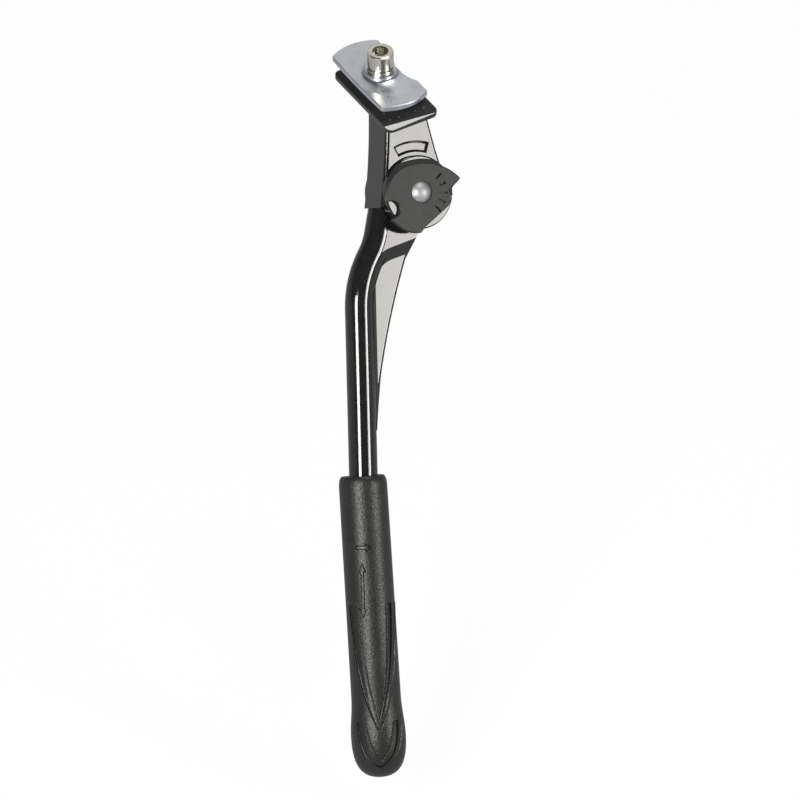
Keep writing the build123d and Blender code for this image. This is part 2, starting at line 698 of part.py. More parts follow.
def foot_button():
    """Push button: a ring round the bar with a tooth in front and a thumb pad behind."""
    half = button_half_width()
    block = button_block(0, 0)
    low = button_plane.offset(BUTTON_AT - BUTTON_HEIGHT).location
    skin = extrude(low * Circle(FOOT_BODY_RADIUS - BUTTON_SUNK), amount=2 * BUTTON_HEIGHT)
    pad_radius = FOOT_BODY_RADIUS + BUTTON_PROUD
    pad = extrude(low * Circle(pad_radius), amount=2 * BUTTON_HEIGHT) & extrude(
        low * Pos(half, 0) * Rectangle(2 * half, BUTTON_PAD_WIDTH), amount=2 * BUTTON_HEIGHT
    )
    ring = block & (skin + pad)
    inner = BAR_DIA / 2 + FOOT_BORE_GAP
    slip = BUTTON_TRAVEL + BUTTON_GAP
    ring -= extrude(low * Pos(slip / 2, 0) * SlotCenterToCenter(slip, 2 * inner), amount=2 * BUTTON_HEIGHT)
    tooth = Box(
        half - BAR_DIA / 2 + NOTCH_DEPTH - TOOTH_GAP,
        TOOTH_WIDTH,
        NOTCH_HEIGHT - 2 * TOOTH_GAP,
        align=(Align.MIN, Align.CENTER, Align.CENTER),
    )
    shell = extrude(low * Circle(half), amount=2 * BUTTON_HEIGHT)
    return ring + (button_plane.offset(BUTTON_AT).location * Pos(-half, 0, 0) * tooth & shell)


def button_spring():
    """Flat spring strip between the button's ring and the front of its pocket."""
    pocket_radius = button_half_width() + BUTTON_GAP
    ring_front = button_half_width() + STRIP_GAP
    strip_front = ring_front + STRIP_THICK + STRIP_GAP
    half_length = sqrt(pocket_radius**2 - (strip_front - BUTTON_TRAVEL) ** 2)
    strip = Box(STRIP_THICK, 2 * half_length, STRIP_WIDTH, align=(Align.MAX, Align.CENTER, Align.CENTER))
    return button_plane.offset(BUTTON_AT).location * Pos(-ring_front, 0, 0) * strip


PIECES = {
    "mounting_head": mounting_head,
    "clamp_plate": clamp_plate,
    "lock_washer": lock_washer,
    "clamp_bolt": clamp_bolt,
    "pivot_cover": pivot_cover,
    "pivot_rivet": pivot_rivet,
    "rivet_washer": rivet_washer,
    "detent_plunger": detent_plunger,
    "detent_spring": detent_spring,
    "leg": leg,
    "pivot_bush": pivot_bush,
    "foot": foot,
    "foot_button": foot_button,
    "button_spring": button_spring,
}

os.makedirs("parts", exist_ok=True)
for name, make in PIECES.items():
    piece = make()
    piece.label = name
    export_step(piece, f"parts/{name}.step")
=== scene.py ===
"""Bicycle kickstand: its finishes, the screw's thread, the cover's flank, the pad's grip dots,
the foot's lips and arrows, the studio light and the camera.
"""

import json
import math

import bmesh
import bpy
from mathutils import Matrix, Vector
from mathutils.bvhtree import BVHTree


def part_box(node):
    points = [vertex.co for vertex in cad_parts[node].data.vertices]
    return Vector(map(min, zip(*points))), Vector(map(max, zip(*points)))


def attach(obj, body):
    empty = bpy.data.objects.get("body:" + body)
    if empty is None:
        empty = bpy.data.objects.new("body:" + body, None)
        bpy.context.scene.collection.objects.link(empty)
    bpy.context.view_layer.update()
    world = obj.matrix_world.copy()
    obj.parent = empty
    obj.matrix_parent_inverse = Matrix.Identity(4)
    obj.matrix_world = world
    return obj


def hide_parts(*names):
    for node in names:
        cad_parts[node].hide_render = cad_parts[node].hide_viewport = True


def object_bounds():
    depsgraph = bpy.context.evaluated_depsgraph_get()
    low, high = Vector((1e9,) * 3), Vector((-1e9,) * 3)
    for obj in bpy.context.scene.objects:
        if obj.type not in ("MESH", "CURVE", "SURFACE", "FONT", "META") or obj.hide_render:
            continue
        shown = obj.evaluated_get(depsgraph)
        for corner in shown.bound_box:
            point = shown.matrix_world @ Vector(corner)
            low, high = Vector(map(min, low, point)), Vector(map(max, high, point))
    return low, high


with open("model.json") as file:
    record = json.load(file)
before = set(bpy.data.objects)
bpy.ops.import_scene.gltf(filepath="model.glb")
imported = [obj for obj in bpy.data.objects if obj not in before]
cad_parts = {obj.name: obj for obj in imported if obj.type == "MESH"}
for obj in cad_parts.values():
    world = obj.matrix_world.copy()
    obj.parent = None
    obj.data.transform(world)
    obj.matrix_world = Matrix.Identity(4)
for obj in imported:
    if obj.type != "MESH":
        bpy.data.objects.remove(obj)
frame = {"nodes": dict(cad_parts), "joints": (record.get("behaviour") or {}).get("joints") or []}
cad_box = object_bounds()

MM = 0.001

# Camera, as in the photograph
IMAGE_SIZE = 800
VIEW_AZIMUTH = 149.0  # degrees
VIEW_ELEVATION = 41.0
VIEW_DISTANCE = 3.0  # metres
VIEW_END = 12.0
PIXELS_PER_MM = 2.05
ORIGIN_PIXEL = (380.5, 86.5)  # where the frame's origin lies in the picture
SENSOR_WIDTH = 36.0  # millimetres

# Studio lamps: turns are to the right of the camera, and all angles are in degrees
BOX_DISTANCE = 1.5  # metres
SIDE_BOX_RISE = 8.0  # above the camera's level
RIGHT_BOX_TURN = 49.5
RIGHT_BOX_WIDE = 8.0
RIGHT_BOX_FALL = 8.0  # below the camera's level
RIGHT_BOX_RADIANCE = 11.5
RIGHT_STRIP_TURN = 58.2
RIGHT_STRIP_WIDE = 9.4
RIGHT_STRIP_RADIANCE = 20.0
LEFT_BOX_TURN = -23.8
LEFT_BOX_WIDE = 19.0
LEFT_BOX_FALL = 13.0
LEFT_BOX_RADIANCE = 22.0
TOP_BOX_WIDE = 60.0
TOP_BOX_TALL = 40.0
TOP_BOX_RADIANCE = 0.64
BEVEL_BOX_WIDE = 16.0
BEVEL_BOX_TALL = 12.0
BEVEL_BOX_RADIANCE = 12.0
BEVEL_NORMAL = (0.0386, 0.3288, 0.944)  # of the bevel on the pad's outer end
LAMP_TINT = (1.0, 0.982, 0.94)

# Surroundings and floor
FILL_LIGHT = 0.15
SKY_LOW = 0.35
SKY_DARK = 0.05
SKY_LOW_BELOW = 0.25  # sine of the height above the horizon
SKY_DARK_ABOVE = 0.38
FLOOR_RADIUS = 4.0  # metres
FLOOR_SIDES = 96
FLOOR_GLOW = 0.94  # share of its own light, the rest takes the shadow
FLOOR_MIRRORED = 0.45  # how bright the floor is in reflections

# Matte gripping face of the pad: level, and above this height
GRIP_FACE_FROM = -1.0 * MM
GRIP_FACE_FADE = 0.3 * MM
GRIP_FACE_LEVEL = (0.97, 0.99)  # upright part of the surface's normal, from glossy to matte

# Cap screw
THREAD_PITCH = 1.25 * MM
THREAD_LENGTH = 28.0 * MM
THREAD_DEPTH = 0.767 * MM
THREAD_OVERLAP = THREAD_PITCH / 4  # up into the shank
THREAD_STEPS = 32  # to a turn
THREAD_ROOT_TO = 0.25  # shares of the pitch
THREAD_CREST_FROM = 0.56
THREAD_CREST_TO = 0.69
THREAD_SPARE_TURNS = 2  # cut off at each end
THREAD_WELD = 0.02 * MM
SCREW_SIDES = 48
SCREW_HEAD_EDGE = 0.8 * MM
SCREW_EDGE_ROUNDING = 0.3  # share of the edge at the middle of its bevel
SCREW_UNDER_EDGE = 0.2 * MM
SCREW_TIP_CHAMFER = 1.0 * MM
SHANK_RADIUS = 3.95 * MM
HEX_HALF = 3.0 * MM
HEX_DEPTH = 5.0 * MM
HEX_CHAMFER = 0.6 * MM
HEX_FLOOR = 1.5 * MM  # radius of the flat at the socket's bottom

# Sloping flank round the top of the pivot cover, angles counted from the rear
FLANK_FROM = -24.0  # degrees
FLANK_TO = 150.0
FLANK_STEPS = 58
FLANK_WIDE = 2.2 * MM
FLANK_REACH = 17.9 * MM  # at most, from the pivot's axis
FLANK_SINK = 0.2 * MM  # into the cover's wall and its seat
FLANK_DROP = 0.15 * MM  # below the cover's face

# Grip dots on the pad
DOT_PITCH = (4.7 * MM, 6.0 * MM)
DOT_ROWS_FROM = -17.0 * MM
DOT_ROWS = 8
DOT_COLUMNS = 5
DOT_RADIUS = 0.65 * MM
DOT_HEIGHT = 0.35 * MM
DOT_CLEAR = 8.0 * MM  # from the bolt's axis
DOT_SIDES = 12
DOT_RINGS = 8

# Lips along the foot's vee and cup: curves across from their middle and down from the foot's top
RIM_DEPTH = 1.2 * MM  # of the foot's top rim, which leans a little
FOOT_LEAN = 2.3  # degrees, of the foot's own axis to the rear
RELIEF_TURN = 24.6  # degrees forward of straight out
VEE_OUTER = ((10.2 * MM, 62.0 * MM), (9.4 * MM, 104.0 * MM), (0.0, 123.5 * MM))
VEE_INNER = ((7.2 * MM, 62.0 * MM), (6.2 * MM, 104.0 * MM), (0.0, 119.6 * MM))
CUP_OUTER = ((10.0 * MM, 119.0 * MM), (10.5 * MM, 137.0 * MM), (0.0, 141.8 * MM))
CUP_INNER = ((7.2 * MM, 119.0 * MM), (5.4 * MM, 134.0 * MM), (0.0, 138.8 * MM))
LIP_RADIUS = 0.45 * MM
LIP_OFF = 0.4 * MM  # from the groove's edge
LIP_STEPS = 40
LIP_SIDES = 8

# Arrows moulded on the foot, measured down from its top and round from straight out
ARROW_HEIGHT = 0.35 * MM
ARROW_STEP = 0.8 * MM
ARROW_SHADOW_LINE = 0.45 * MM  # painted shadow: a dark flat outline round each arrow, for the shade of a groove
ARROW_SHADOW_LINE_HEIGHT = 0.12 * MM
LONG_ARROW_AT = 42.6 * MM
LONG_ARROW_LENGTH = 25.0 * MM
LONG_ARROW_TURN = 36.0  # degrees
LONG_ARROW_SHAFT = 0.93 * MM
LONG_ARROW_HEAD = (3.2 * MM, 2.2 * MM)
SIDE_ARROW_AT = 34.3 * MM
SIDE_ARROW_LENGTH = 6.6 * MM
SIDE_ARROW_TURN = 32.4
SIDE_ARROW_SHAFT = 1.3 * MM
SIDE_ARROW_HEAD = (1.8 * MM, 2.6 * MM)


def joint(name):
    """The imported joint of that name."""
    return next(each for each in frame["joints"] if each["name"] == name)


# Directions shared by the camera and the studio lights
azimuth = math.radians(VIEW_AZIMUTH)
elevation = math.radians(VIEW_ELEVATION)
to_camera = Vector((
    math.sin(azimuth) * math.cos(elevation),
    -math.cos(azimuth) * math.cos(elevation),
    math.sin(elevation),
))
view_right = Vector((math.cos(azimuth), math.sin(azimuth), 0))
view_up = to_camera.cross(view_right)
view_target = (
    view_right * (IMAGE_SIZE / 2 - ORIGIN_PIXEL[0]) + view_up * (ORIGIN_PIXEL[1] - IMAGE_SIZE / 2)
) * (MM / PIXELS_PER_MM)

# Frame of the foot: down the leg, out along the pivot's axis, and rearwards
foot_down = Vector(joint("foot_slide")["axis"])
foot_out = Vector(joint("leg_fold")["axis"])
foot_back = foot_out.cross(foot_down)


def facing(x_axis, y_axis, z_axis, place):
    """The placing matrix with these axes."""
    turn = Matrix((x_axis, y_axis, z_axis)).transposed()
    return Matrix.Translation(place) @ turn.to_4x4()


def add_camera():
    """The camera at the photograph's viewing angle and scale."""
    lens = bpy.data.cameras.new("camera")
    view_width = IMAGE_SIZE / PIXELS_PER_MM * MM
    lens.sensor_width = SENSOR_WIDTH
    lens.lens = SENSOR_WIDTH * VIEW_DISTANCE / view_width
    lens.clip_end = VIEW_END
    camera = bpy.data.objects.new("camera", lens)
    camera.matrix_world = facing(
        view_right, view_up, to_camera, view_target + to_camera * VIEW_DISTANCE
    )
    bpy.context.scene.collection.objects.link(camera)
    bpy.context.scene.camera = camera


def span(degrees):
    """How wide a softbox is that fills an angle of view."""
    return 2 * BOX_DISTANCE * math.tan(math.radians(degrees) / 2)


def softbox(name, x_axis, y_axis, wide, tall, radiance):
    """A rectangular lamp that faces the object, of a given angle of view and brightness."""
    lamp = bpy.data.lights.new(name, "AREA")
    lamp.shape = "RECTANGLE"
    lamp.size = span(wide)
    lamp.size_y = span(tall)
    lamp.energy = radiance * math.pi * lamp.size * lamp.size_y
    lamp.color = LAMP_TINT
    away = x_axis.cross(y_axis)
    box = bpy.data.objects.new(name, lamp)
    box.matrix_world = facing(x_axis, y_axis, away, view_target + away * BOX_DISTANCE)
    box.visible_camera = False
    bpy.context.scene.collection.objects.link(box)


def side_box(name, turn, wide, fall, radiance):
    """A softbox beside the camera, turned to the right of it and reaching down by some degrees."""
    angle = math.radians(turn)
    drop = math.radians(fall - SIDE_BOX_RISE) / 2
    across = view_right * math.cos(angle) - to_camera * math.sin(angle)
    upright = view_up * math.cos(drop) + across.cross(view_up) * math.sin(drop)
    softbox(name, across, upright, wide, fall + SIDE_BOX_RISE, radiance)


def top_box():
    """The broad soft light behind the object, which level faces mirror to the camera."""
    away = Vector((-to_camera.x, -to_camera.y, to_camera.z))
    across = -view_right
    upright = away.cross(across)
    softbox("top_box", across, upright, TOP_BOX_WIDE, TOP_BOX_TALL, TOP_BOX_RADIANCE)


def bevel_box():
    """The light overhead that the pad's bevelled end mirrors to the camera."""
    normal = Vector(BEVEL_NORMAL)
    away = (2 * normal.dot(to_camera) * normal - to_camera).normalized()
    across = away.cross(view_right).cross(away).normalized()
    upright = away.cross(across)
    softbox("bevel_box", across, upright, BEVEL_BOX_WIDE, BEVEL_BOX_TALL, BEVEL_BOX_RADIANCE)


def seen_ray(nodes, links):
    """A socket that is 1 for rays that show the surroundings: camera, glossy and transmission."""
    path = nodes.new("ShaderNodeLightPath")
    first = nodes.new("ShaderNodeMath")
    first.operation = "MAXIMUM"
    links.new(path.outputs["Is Camera Ray"], first.inputs[0])
    links.new(path.outputs["Is Glossy Ray"], first.inputs[1])
    both = nodes.new("ShaderNodeMath")
    both.operation = "MAXIMUM"
    links.new(first.outputs[0], both.inputs[0])
    links.new(path.outputs["Is Transmission Ray"], both.inputs[1])
    return both.outputs[0]


def studio_world():
    """Grey surroundings low down, a dark ceiling in reflections and a weak even fill."""
    world = bpy.data.worlds.new("studio")
    world.use_nodes = True
    nodes = world.node_tree.nodes
    links = world.node_tree.links
    place = nodes.new("ShaderNodeTexCoord")
    split = nodes.new("ShaderNodeSeparateXYZ")
    links.new(place.outputs["Generated"], split.inputs[0])
    height = nodes.new("ShaderNodeMapRange")
    height.inputs["From Min"].default_value = SKY_LOW_BELOW
    height.inputs["From Max"].default_value = SKY_DARK_ABOVE
    height.inputs["To Min"].default_value = SKY_LOW
    height.inputs["To Max"].default_value = SKY_DARK
    links.new(split.outputs["Z"], height.inputs["Value"])
    level = nodes.new("ShaderNodeMix")
    level.inputs["A"].default_value = FILL_LIGHT
    links.new(seen_ray(nodes, links), level.inputs["Factor"])
    links.new(height.outputs["Result"], level.inputs["B"])
    links.new(level.outputs["Result"], nodes["Background"].inputs["Strength"])
    nodes["Background"].inputs["Color"].default_value = (1, 1, 1, 1)
    bpy.context.scene.world = world


def studio_floor():
    """A pale round floor below the foot's full reach, white to the camera but for a soft shadow."""
    lowest = cad_box[0].z + foot_down.z * joint("foot_slide")["range_m"][1]
    shape = bmesh.new()
    bmesh.ops.create_circle(shape, cap_ends=True, segments=FLOOR_SIDES, radius=FLOOR_RADIUS)
    bmesh.ops.translate(shape, verts=shape.verts, vec=(view_target.x, view_target.y, lowest))
    floor = piece("floor", shape)
    material = bpy.data.materials.new("pale_floor")
    material.use_nodes = True
    nodes = material.node_tree.nodes
    links = material.node_tree.links
    nodes.remove(nodes["Principled BSDF"])
    paper = nodes.new("ShaderNodeBsdfDiffuse")
    paper.inputs["Color"].default_value = (1, 1, 1, 1)
    glow = nodes.new("ShaderNodeEmission")
    level = nodes.new("ShaderNodeMix")
    level.inputs["A"].default_value = FLOOR_MIRRORED
    level.inputs["B"].default_value = 1.0
    path = nodes.new("ShaderNodeLightPath")
    links.new(path.outputs["Is Camera Ray"], level.inputs["Factor"])
    links.new(level.outputs["Result"], glow.inputs["Strength"])
    share = nodes.new("ShaderNodeMath")
    share.operation = "MULTIPLY"
    share.inputs[1].default_value = FLOOR_GLOW
    links.new(seen_ray(nodes, links), share.inputs[0])
    mix = nodes.new("ShaderNodeMixShader")
    links.new(share.outputs[0], mix.inputs["Fac"])
    links.new(paper.outputs[0], mix.inputs[1])
    links.new(glow.outputs[0], mix.inputs[2])
    links.new(mix.outputs[0], nodes["Material Output"].inputs["Surface"])
    floor.data.materials.append(material)


def piece(name, shape):
    """A new object at the origin from a finished bmesh."""
    mesh = bpy.data.meshes.new(name)
    shape.to_mesh(mesh)
    shape.free()
    made = bpy.data.objects.new(name, mesh)
    bpy.context.scene.collection.objects.link(made)
    return made


class Finish:
    """One procedural material: a principled shader with texture on object coordinates.

    The plain values given at the start hold until a texture takes their place.
    """

    def __init__(self, name, colour, roughness, metallic=0.0, ior=1.5):
        self.material = bpy.data.materials.new(name)
        self.material.use_nodes = True
        self.nodes = self.material.node_tree.nodes
        self.links = self.material.node_tree.links
        self.shader = self.nodes["Principled BSDF"]
        self.shader.inputs["Base Color"].default_value = (*colour, 1)
        self.shader.inputs["Roughness"].default_value = roughness
        self.shader.inputs["Metallic"].default_value = metallic
        self.shader.inputs["IOR"].default_value = ior
        self.place = self.nodes.new("ShaderNodeTexCoord")

    def noise(self, size, detail=2.0, stretch=None):
        """A noise socket of a given grain size, drawn out along axes if asked."""
        texture = self.nodes.new("ShaderNodeTexNoise")
        texture.inputs["Scale"].default_value = 1 / size
        texture.inputs["Detail"].default_value = detail
        spot = self.place.outputs["Object"]
        if stretch:
            mapping = self.nodes.new("ShaderNodeMapping")
            mapping.inputs["Scale"].default_value = stretch
            self.links.new(spot, mapping.inputs["Vector"])
            spot = mapping.outputs["Vector"]
        self.links.new(spot, texture.inputs["Vector"])
        return texture.outputs["Fac"]

    def ranged(self, value, low, high, start=0.3, end=0.7):
        """A socket spread from low to high as the value goes from start to end."""
        spread = self.nodes.new("ShaderNodeMapRange")
        spread.inputs["From Min"].default_value = start
        spread.inputs["From Max"].default_value = end
        spread.inputs["To Min"].default_value = low
        spread.inputs["To Max"].default_value = high
        self.links.new(value, spread.inputs["Value"])
        return spread.outputs["Result"]

    def patches(self, size, low, high, detail=2.0):
        """A socket that drifts between two values in patches of a given size."""
        return self.ranged(self.noise(size, detail), low, high)

    def mottle(self, size, dark, light, detail=2.0):
        """Base colour that drifts from dark to light in patches of a given size."""
        value = self.patches(size, 0, 1, detail)
        mix = self.nodes.new("ShaderNodeMix")
        mix.data_type = "RGBA"
        for socket in mix.inputs:
            if socket.identifier == "A_Color":
                socket.default_value = (*dark, 1)
            if socket.identifier == "B_Color":
                socket.default_value = (*light, 1)
        self.links.new(value, mix.inputs["Factor"])
        result = next(each for each in mix.outputs if each.identifier == "Result_Color")
        self.links.new(result, self.shader.inputs["Base Color"])

    def roughen(self, value):
        """Roughness from a socket."""
        self.links.new(value, self.shader.inputs["Roughness"])

    def bump(self, value, height):
        """Relief of a given height from a socket, on top of any relief there is."""
        relief = self.nodes.new("ShaderNodeBump")
        relief.inputs["Distance"].default_value = height
        if self.shader.inputs["Normal"].links:
            below = self.shader.inputs["Normal"].links[0].from_socket
            self.links.new(below, relief.inputs["Normal"])
        self.links.new(value, relief.inputs["Height"])
        self.links.new(relief.outputs["Normal"], self.shader.inputs["Normal"])

    def grip_face(self):
        """A socket that is 1 on the pad's gripping face and 0 elsewhere."""
        turn = self.nodes.new("ShaderNodeSeparateXYZ")
        self.links.new(self.place.outputs["Normal"], turn.inputs[0])
        spot = self.nodes.new("ShaderNodeSeparateXYZ")
        self.links.new(self.place.outputs["Object"], spot.inputs[0])
        level = self.ranged(turn.outputs["Z"], 0, 1, *GRIP_FACE_LEVEL)
        above = self.ranged(spot.outputs["Z"], 0, 1, GRIP_FACE_FROM, GRIP_FACE_FROM + GRIP_FACE_FADE)
        both = self.nodes.new("ShaderNodeMath")
        both.operation = "MULTIPLY"
        self.links.new(level, both.inputs[0])
        self.links.new(above, both.inputs[1])
        return both.outputs[0]

    def blend(self, share, first, second):
        """A socket that goes from one value to another with a share."""
        mix = self.nodes.new("ShaderNodeMix")
        self.links.new(share, mix.inputs["Factor"])
        self.links.new(first, mix.inputs["A"])
        self.links.new(second, mix.inputs["B"])
        return mix.outputs["Result"]


def black_enamel():
    """Glossy black stove enamel with orange peel, matte on the pad's gripping face."""
    paint = Finish("black_enamel", (0.012, 0.012, 0.013), 0.08, ior=1.58)
    paint.mottle(4 * MM, (0.009, 0.009, 0.010), (0.014, 0.014, 0.015))
    gloss = paint.patches(7 * MM, 0.05, 0.11, detail=4)
    matte = paint.patches(0.6 * MM, 0.85, 0.95)
    paint.roughen(paint.blend(paint.grip_face(), gloss, matte))
    paint.bump(paint.noise(1.6 * MM), 0.012 * MM)
    return paint.material


def dot_highlight_paint():
    """Enamel painted paler on the grip dots: a painted highlight that makes them show as light
    specks.
    """
    paint = Finish("dot_highlight_paint", (0.06, 0.06, 0.062), 0.3)
    paint.mottle(3 * MM, (0.03, 0.03, 0.031), (0.09, 0.09, 0.092))
    paint.roughen(paint.patches(1 * MM, 0.24, 0.36))
    return paint.material


def zinc_plate():
    """Bright zinc on pressed steel: mottled, with fine scratches."""
    zinc = Finish("zinc_plate", (0.62, 0.65, 0.69), 0.33, metallic=1.0)
    zinc.mottle(5 * MM, (0.55, 0.59, 0.65), (0.67, 0.70, 0.745), detail=6)
    zinc.roughen(zinc.patches(2.5 * MM, 0.28, 0.36, detail=5))
    zinc.bump(zinc.noise(0.5 * MM, detail=3), 0.003 * MM)
    zinc.bump(zinc.noise(3 * MM, stretch=(12, 1, 1)), 0.002 * MM)
    return zinc.material


def bright_steel():
    """Nickel-bright steel of the screw and washers, with turning marks round its axis."""
    steel = Finish("bright_steel", (0.72, 0.69, 0.63), 0.2, metallic=1.0)
    steel.mottle(3 * MM, (0.66, 0.63, 0.57), (0.76, 0.73, 0.67), detail=4)
    steel.roughen(steel.patches(1.2 * MM, 0.16, 0.26, detail=3))
    steel.bump(steel.noise(2 * MM, stretch=(0.2, 0.2, 10)), 0.01 * MM)
    return steel.material


def polished_rivet():
    """The rivet's bright dome, lightly tumbled."""
    steel = Finish("polished_rivet", (0.5, 0.51, 0.53), 0.52, metallic=0.9)
    steel.mottle(2 * MM, (0.44, 0.45, 0.47), (0.55, 0.56, 0.58), detail=4)
    steel.roughen(steel.patches(0.8 * MM, 0.5, 0.57, detail=3))
    steel.bump(steel.noise(0.4 * MM), 0.003 * MM)
    return steel.material


def grey_moulding():
    """Satin dark grey moulding of the pivot cover."""
    plastic = Finish("grey_moulding", (0.012, 0.012, 0.012), 0.5)
    plastic.mottle(6 * MM, (0.013, 0.013, 0.013), (0.019, 0.019, 0.019), detail=4)
    plastic.roughen(plastic.patches(1 * MM, 0.46, 0.56, detail=3))
    plastic.bump(plastic.noise(0.35 * MM), 0.03 * MM)
    return plastic.material


def black_moulding():
    """Grained black moulding of the foot."""
    plastic = Finish("black_moulding", (0.012, 0.012, 0.012), 0.4)
    plastic.mottle(8 * MM, (0.01, 0.01, 0.01), (0.015, 0.015, 0.015), detail=4)
    plastic.roughen(plastic.patches(1.5 * MM, 0.37, 0.47, detail=4))
    plastic.bump(plastic.noise(1.1 * MM), 0.16 * MM)
    return plastic.material


def painted_shadow_line():
    """Painted shadow: dull black for the flat outline round the foot's arrows, in place of a moulded
    groove's shade.
    """
    plastic = Finish("painted_shadow_line", (0.003, 0.003, 0.003), 0.9, ior=1.3)
    plastic.roughen(plastic.patches(1 * MM, 0.85, 0.95))
    return plastic.material


def button_moulding():
    """Smoother black moulding of the lock button."""
    plastic = Finish("button_moulding", (0.024, 0.024, 0.026), 0.4)
    plastic.mottle(4 * MM, (0.02, 0.02, 0.021), (0.029, 0.029, 0.03), detail=3)
    plastic.roughen(plastic.patches(1 * MM, 0.34, 0.46, detail=3))
    plastic.bump(plastic.noise(0.3 * MM), 0.02 * MM)
    return plastic.material


def spring_steel():
    """Grey oiled steel of the springs, plunger and bush."""
    steel = Finish("spring_steel", (0.36, 0.36, 0.37), 0.3, metallic=1.0)
    steel.mottle(2 * MM, (0.28, 0.28, 0.29), (0.42, 0.42, 0.43), detail=4)
    steel.roughen(steel.patches(0.8 * MM, 0.25, 0.38, detail=3))
    steel.bump(steel.noise(0.3 * MM), 0.005 * MM)
    return steel.material


def next_loop(shape, loop, place):
    """Extrudes a loop of edges and puts each new corner where place says."""
    grown = bmesh.ops.extrude_edge_only(shape, edges=loop)["geom"]
    for corner in grown:
        if isinstance(corner, bmesh.types.BMVert):
            corner.co = place(corner.co)
    return [edge for edge in grown if isinstance(edge, bmesh.types.BMEdge) and edge.is_boundary]


def ring(radius, height):
    """A rule that puts corners on a circle."""
    def place(spot):
        angle = math.atan2(spot.y, spot.x)
        return Vector((radius * math.cos(angle), radius * math.sin(angle), height))
    return place


def hexagon(half, height):
    """A rule that puts corners on a hexagon's sides."""
    def place(spot):
        angle = math.atan2(spot.y, spot.x)
        off_flat = (angle + math.pi / 6) % (math.pi / 3) - math.pi / 6
        reach = half / math.cos(off_flat)
        return Vector((reach * math.cos(angle), reach * math.sin(angle), height))
    return place


def partner(before, after):
    """A rule that takes each corner of one section to its partner in the next."""
    def place(spot):
        nearest = min(range(len(before)), key=lambda index: (before[index] - spot).length)
        return after[nearest]
    return place


def loft(shape, sections):
    """A closed skin that grows from the first section of corners to the last."""
    start = shape.faces.new([shape.verts.new(spot) for spot in sections[0]])
    loop = start.edges[:]
    for before, after in zip(sections, sections[1:]):
        loop = next_loop(shape, loop, partner(before, after))
    bmesh.ops.edgeloop_fill(shape, edges=loop)


def skin_of(node):
    """The surface of a CAD node, for rays to find."""
    return BVHTree.FromObject(frame["nodes"][node], bpy.context.evaluated_depsgraph_get())


def screw_head(shape, foot_of_shank, under, top, radius):
    """Shank, round head with a bevelled edge, and hexagon socket, as one closed skin."""
    hex_reach = HEX_HALF / math.cos(math.pi / 6)
    rounding = SCREW_HEAD_EDGE * SCREW_EDGE_ROUNDING
    bmesh.ops.create_circle(shape, cap_ends=False, segments=SCREW_SIDES, radius=SHANK_RADIUS)
    bmesh.ops.translate(shape, verts=shape.verts, vec=(0, 0, foot_of_shank))
    loop = shape.edges[:]
    bmesh.ops.edgeloop_fill(shape, edges=loop)
    for place in (
        ring(SHANK_RADIUS, under),
        ring(radius - SCREW_UNDER_EDGE, under),
        ring(radius, under + SCREW_UNDER_EDGE),
        ring(radius, top - SCREW_HEAD_EDGE),
        ring(radius - rounding, top - rounding),
        ring(radius - SCREW_HEAD_EDGE, top),
        ring(hex_reach + HEX_CHAMFER, top),
        hexagon(HEX_HALF, top - HEX_CHAMFER),
        hexagon(HEX_HALF, top - HEX_DEPTH),
        ring(HEX_FLOOR, top - HEX_DEPTH - HEX_CHAMFER),
    ):
        loop = next_loop(shape, loop, place)
    bmesh.ops.edgeloop_fill(shape, edges=loop)
    bmesh.ops.recalc_face_normals(shape, faces=shape.faces)


def screw_thread(tip, length):
    """A rolled thread of one start, made by spinning one tooth up a helix."""
    shape = bmesh.new()
    crest = SHANK_RADIUS
    root = crest - THREAD_DEPTH
    tooth = (
        (root, 0.0),
        (root, THREAD_ROOT_TO * THREAD_PITCH),
        (crest, THREAD_CREST_FROM * THREAD_PITCH),
        (crest, THREAD_CREST_TO * THREAD_PITCH),
        (root, THREAD_PITCH),
    )
    start = tip - THREAD_SPARE_TURNS * THREAD_PITCH
    corners = [shape.verts.new((reach, 0, start + rise)) for reach, rise in tooth]
    sides = [shape.edges.new(pair) for pair in zip(corners, corners[1:])]
    turns = math.ceil(length / THREAD_PITCH) + 2 * THREAD_SPARE_TURNS
    bmesh.ops.spin(
        shape,
        geom=corners + sides,
        axis=(0, 0, 1),
        cent=(0, 0, 0),
        dvec=(0, 0, THREAD_PITCH / THREAD_STEPS),
        angle=math.tau * turns,
        steps=THREAD_STEPS * turns,
    )
    bmesh.ops.remove_doubles(shape, verts=shape.verts, dist=THREAD_WELD)
    for height, below in ((tip, True), (tip + length, False)):
        cut = bmesh.ops.bisect_plane(
            shape,
            geom=shape.verts[:] + shape.edges[:] + shape.faces[:],
            plane_co=(0, 0, height),
            plane_no=(0, 0, 1),
            clear_inner=below,
            clear_outer=not below,
        )["geom_cut"]
        rim = [edge for edge in cut if isinstance(edge, bmesh.types.BMEdge)]
        bmesh.ops.edgeloop_fill(shape, edges=rim)
    for corner in shape.verts:
        reach = math.hypot(corner.co.x, corner.co.y)
        most = crest - SCREW_TIP_CHAMFER + (corner.co.z - tip)
        if reach > most:
            corner.co.x *= most / reach
            corner.co.y *= most / reach
    bmesh.ops.recalc_face_normals(shape, faces=shape.faces)
    return shape


def cap_screw(material):
    """The socket head cap screw with its real thread and socket."""
    low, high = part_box("clamp_bolt")
    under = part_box("lock_washer")[1].z
    shape = bmesh.new()
    screw_head(shape, low.z + THREAD_LENGTH, under, high.z, high.x)
    thread = bpy.data.meshes.new("thread")
    winding = screw_thread(low.z, THREAD_LENGTH + THREAD_OVERLAP)
    winding.to_mesh(thread)
    winding.free()
    shape.from_mesh(thread)
    screw = piece("cap_screw", shape)
    screw.data.materials.append(material)
    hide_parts("clamp_bolt")
    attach(screw, "clamp")


